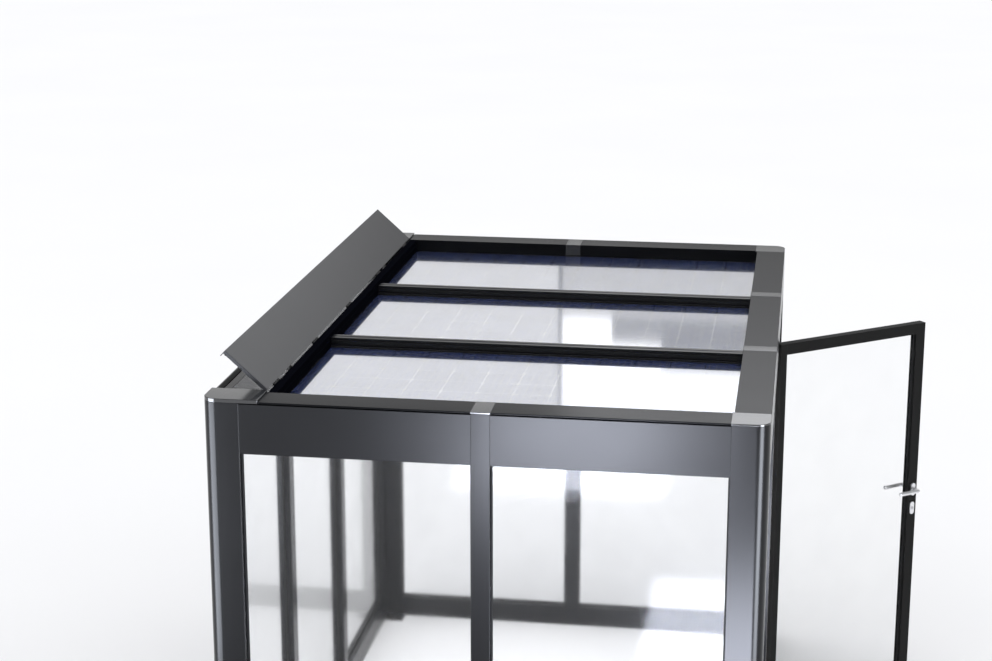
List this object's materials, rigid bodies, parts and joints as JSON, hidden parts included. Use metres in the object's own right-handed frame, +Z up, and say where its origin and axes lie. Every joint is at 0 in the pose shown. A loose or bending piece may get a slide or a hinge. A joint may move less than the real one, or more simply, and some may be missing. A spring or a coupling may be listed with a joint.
{
  "type": "flat-roofed greenhouse",
  "caption": "Walk-in greenhouse with a flat solar-glass roof, a long hinged roof vent along one side and a glazed side door, in dark coated aluminium.",
  "frame": {"origin": "centre of the footprint on the ground, in the middle of the four anchor bolt holes", "axes": "+Z up; the front faces -Y, the door is in the +X side, and the roof vent runs along the -X side"},
  "size_m": [3.132, 3.428, 2.508],
  "materials": {
    "anthracite_frame": "satin anthracite powder coat on aluminium",
    "grey_caps": "satin grey anodised aluminium",
    "door_anthracite": "satin near-black powder coat on aluminium",
    "wall_glass": "clear tempered glass with a light haze",
    "door_glass": "clear tempered glass",
    "solar_glass": "textured low-iron laminate",
    "silicon_cell": "blue silicon wafers with silver bus bars",
    "gasket": "matt EPDM",
    "black_plastic": "moulded",
    "satin_steel": "satin stainless steel"
  },
  "bodies": {
    "frame": {"corner_post_front_left": "anthracite_frame", "corner_post_front_right": "anthracite_frame", "corner_post_rear_left": "anthracite_frame", "corner_post_rear_right": "anthracite_frame", "mid_posts": "anthracite_frame", "lock_post": "anthracite_frame", "hinge_post": "anthracite_frame", "sills": "anthracite_frame", "fascias": "anthracite_frame", "roof_rail_front": "anthracite_frame", "roof_rail_rear": "anthracite_frame", "roof_rail_right": "anthracite_frame", "rafters": "anthracite_frame", "rafter_covers": "anthracite_frame", "hinge_beam": "anthracite_frame", "door_threshold": "anthracite_frame", "corner_caps": "grey_caps", "post_caps": "grey_caps", "door_jamb_hinge": "door_anthracite", "door_jamb_lock": "door_anthracite", "door_head_stop": "door_anthracite", "wall_glass": "wall_glass", "solar_glass_front": "solar_glass", "solar_glass_middle": "solar_glass", "solar_glass_rear": "solar_glass", "solar_cells": "silicon_cell", "wall_gaskets": "gasket", "roof_gaskets": "gasket", "vent_seal": "gasket", "junction_boxes": "black_plastic", "base_plates": "satin_steel", "vent_hinge_fixed_leaves": "satin_steel", "vent_hinge_pins": "satin_steel", "actuator_brackets": "satin_steel", "strike_plate": "satin_steel", "door_hinge_frame_leaves": "satin_steel", "door_hinge_pins": "satin_steel"},
    "vent": {"vent_flap": "anthracite_frame", "vent_flap_end_plates": "anthracite_frame", "vent_hinge_flap_leaves": "satin_steel", "flap_lugs": "satin_steel"},
    "actuator_front": {"actuator_body_front": "satin_steel"},
    "actuator_rear": {"actuator_body_rear": "satin_steel"},
    "ram_front": {"actuator_rod_front": "satin_steel"},
    "ram_rear": {"actuator_rod_rear": "satin_steel"},
    "door": {"door_stile_hinge": "door_anthracite", "door_stile_lock": "door_anthracite", "door_rails": "door_anthracite", "door_glass": "door_glass", "door_gasket": "gasket", "door_hinge_door_leaves": "satin_steel", "rose_plates": "satin_steel", "lock_case": "satin_steel", "hinge_screws": "satin_steel"},
    "handle": {"lever_outside": "satin_steel", "lever_inside": "satin_steel", "handle_spindle": "satin_steel"},
    "latch": {"latch_bolt": "satin_steel"},
    "bolt": {"dead_bolt": "satin_steel"},
    "key_plug": {"key_cylinder": "satin_steel"}
  },
  "joints": [
    {"name": "vent_hinge", "type": "hinge", "parent": "frame", "child": "vent", "pos_m": [-0.94, 0, 2.334], "axis": [0, 1, 0], "range_deg": [-42, 0]},
    {"name": "actuator_pivot_front", "type": "hinge", "parent": "frame", "child": "actuator_front", "pos_m": [-0.952, -1.032, 2.245], "axis": [0, 1, 0], "range_deg": [-20, 0.5]},
    {"name": "ram_slide_front", "type": "slide", "parent": "actuator_front", "child": "ram_front", "axis": [-0.4658, 0, 0.8849], "range_m": [-0.047, 0.0005]},
    {"name": "actuator_pivot_rear", "type": "hinge", "parent": "frame", "child": "actuator_rear", "pos_m": [-0.952, 1.032, 2.245], "axis": [0, 1, 0], "range_deg": [-20, 0.5]},
    {"name": "ram_slide_rear", "type": "slide", "parent": "actuator_rear", "child": "ram_rear", "axis": [-0.4658, 0, 0.8849], "range_m": [-0.047, 0.0005]},
    {"name": "door_hinge", "type": "hinge", "parent": "frame", "child": "door", "pos_m": [1.158, 0.474, 1.065], "axis": [0, 0, 1], "range_deg": [-128, 0]},
    {"name": "handle_turn", "type": "hinge", "parent": "door", "child": "handle", "pos_m": [1.89786, 1.0108, 1.18], "axis": [0.6157, -0.788, 0], "range_deg": [0, 40], "stiffness_Nm_per_rad": 1.2, "springref_deg": -20.05},
    {"name": "latch_slide", "type": "slide", "parent": "door", "child": "latch", "axis": [-0.788, -0.6157, 0], "range_m": [0, 0.0091]},
    {"name": "key_turn", "type": "hinge", "parent": "door", "child": "key_plug", "pos_m": [1.89786, 1.0108, 1.074], "axis": [0.6157, -0.788, 0], "range_deg": [0, 360]},
    {"name": "bolt_slide", "type": "slide", "parent": "door", "child": "bolt", "axis": [0.788, 0.6157, 0], "range_m": [0, 0.0141]}
  ],
  "couplings": [
    {"joint": "actuator_pivot_front", "follows": "vent_hinge", "ratio": 0.463},
    {"joint": "ram_slide_front", "follows": "vent_hinge", "m_per_rad": 0.063481},
    {"joint": "actuator_pivot_rear", "follows": "vent_hinge", "ratio": 0.463},
    {"joint": "ram_slide_rear", "follows": "vent_hinge", "m_per_rad": 0.063481},
    {"joint": "latch_slide", "follows": "handle_turn", "m_per_rad": 0.012892},
    {"joint": "bolt_slide", "follows": "key_turn", "m_per_rad": 0.002228}
  ]
}
